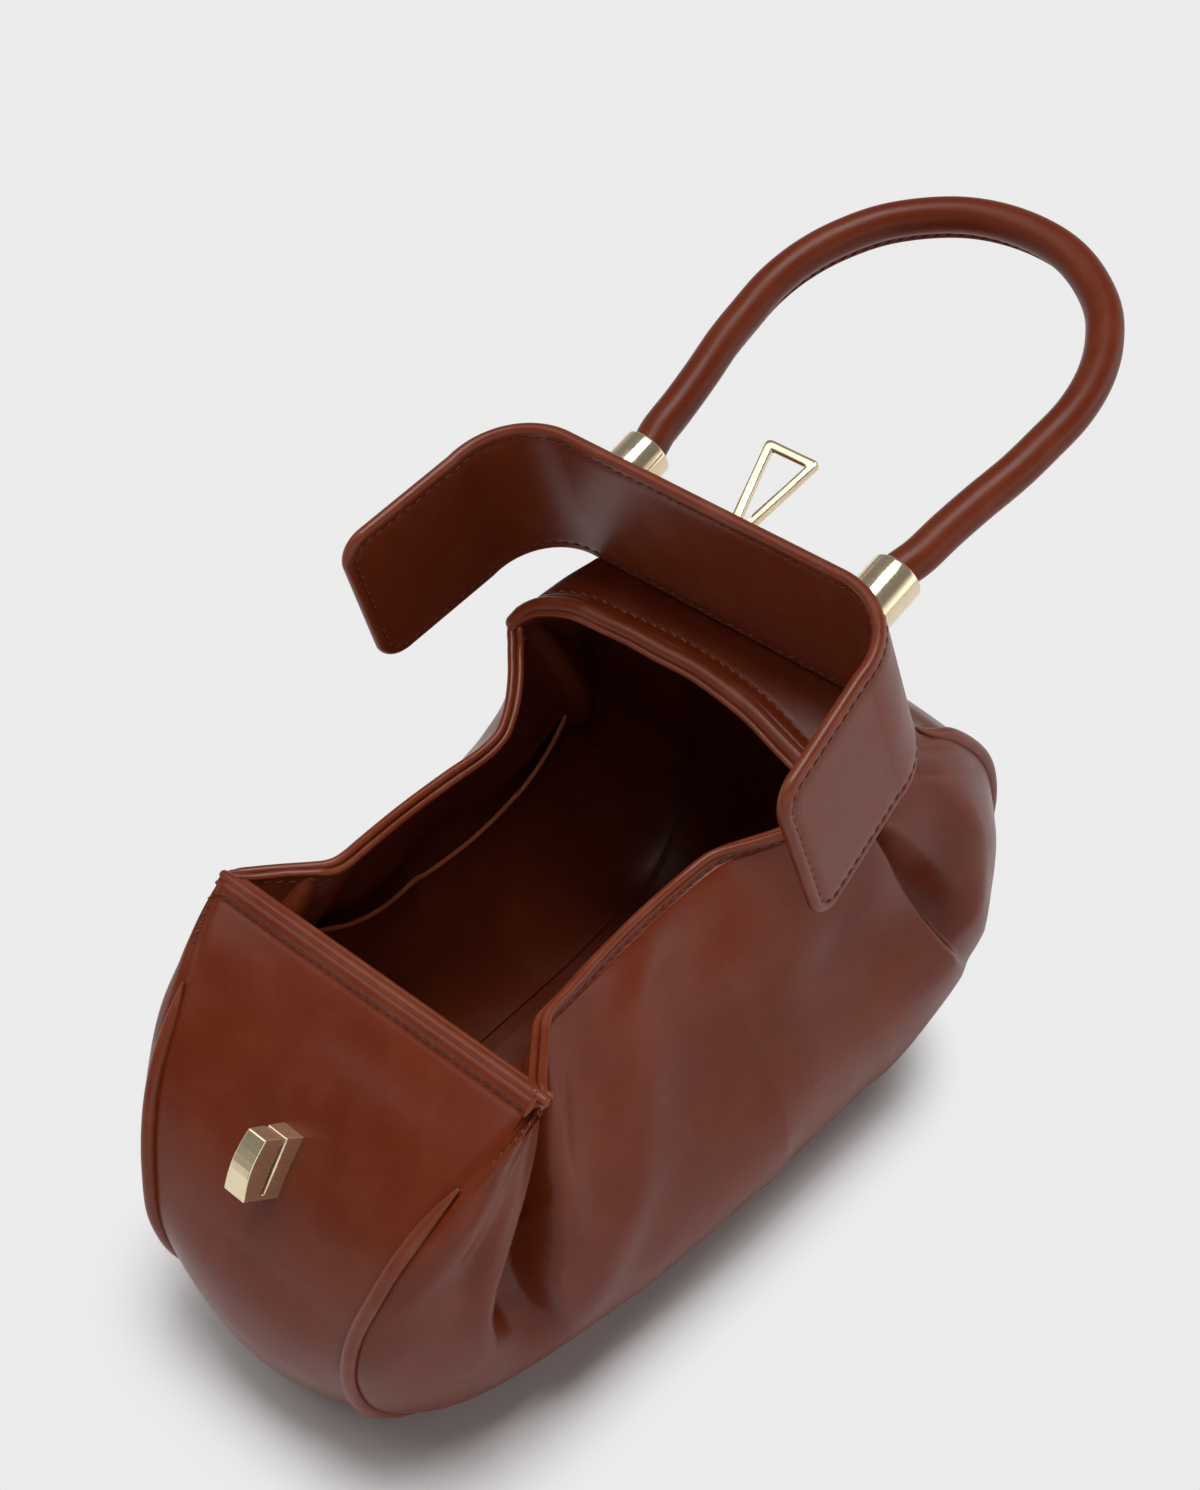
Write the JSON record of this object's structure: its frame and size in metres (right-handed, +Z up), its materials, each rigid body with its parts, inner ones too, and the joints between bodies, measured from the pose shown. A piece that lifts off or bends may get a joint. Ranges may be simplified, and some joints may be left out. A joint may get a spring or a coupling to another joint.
{
  "type": "top handle bag",
  "caption": "Small top handle bag: soft leather body with piped sides, a stiff banded flap that carries a rolled handle, and a ring clasp for the post on its front.",
  "frame": {"origin": "on the flat base, in the middle of the bag's width, below the middle of the bag's body", "axes": "+X across the bag, with the slip pocket on the -X wall; -Y out of the front panel with the catch post, +Y towards the flap's hinge and the handle; +Z up. The flap is at its open stop."},
  "size_m": [0.1604, 0.3361, 0.239],
  "materials": {
    "leather": "smooth semi-gloss calf leather, cognac brown",
    "lining": "matte thin leather, darker brown",
    "stiffener": "plain fibre board",
    "cord_core": "twisted cotton",
    "plated_fittings": "polished pale gold plating",
    "hidden_steel": "plain"
  },
  "bodies": {
    "bag_body": {"centre_strip": "leather", "side_panel_left": "leather", "side_panel_right": "leather", "side_lining_left": "lining", "side_lining_right": "lining", "strip_lining": "lining", "piping_left": "leather", "piping_right": "leather", "rim_binding_front": "leather", "rim_binding_left": "leather", "rim_binding_right": "leather", "rim_binding_back": "leather", "top_panel": "leather", "slip_pocket": "lining", "base_board": "stiffener", "catch_post": "plated_fittings", "catch_backing_plate": "hidden_steel", "catch_screw_upper": "hidden_steel", "catch_screw_lower": "hidden_steel"},
    "flap": {"lid_cover": "leather", "lid_core": "stiffener", "lid_lining": "lining", "lid_binding": "leather", "ferrule_left": "plated_fittings", "ferrule_right": "plated_fittings", "ferrule_screw_left": "hidden_steel", "ferrule_screw_right": "hidden_steel", "handle_cover": "leather", "handle_cord": "cord_core", "ring_bracket": "plated_fittings", "ring_pin": "plated_fittings", "bracket_rivet_upper": "hidden_steel", "bracket_rivet_lower": "hidden_steel"},
    "ring": {"clasp_ring": "plated_fittings"}
  },
  "joints": [
    {"name": "flap_hinge", "type": "hinge", "parent": "bag_body", "child": "flap", "pos_m": [0, 0.07425, 0.16443], "axis": [1, 0, 0], "range_deg": [0, 71.7]},
    {"name": "ring_hinge", "type": "hinge", "parent": "flap", "child": "ring", "pos_m": [0, 0.07038, 0.19254], "axis": [1, 0, 0], "range_deg": [-80, 79]}
  ]
}
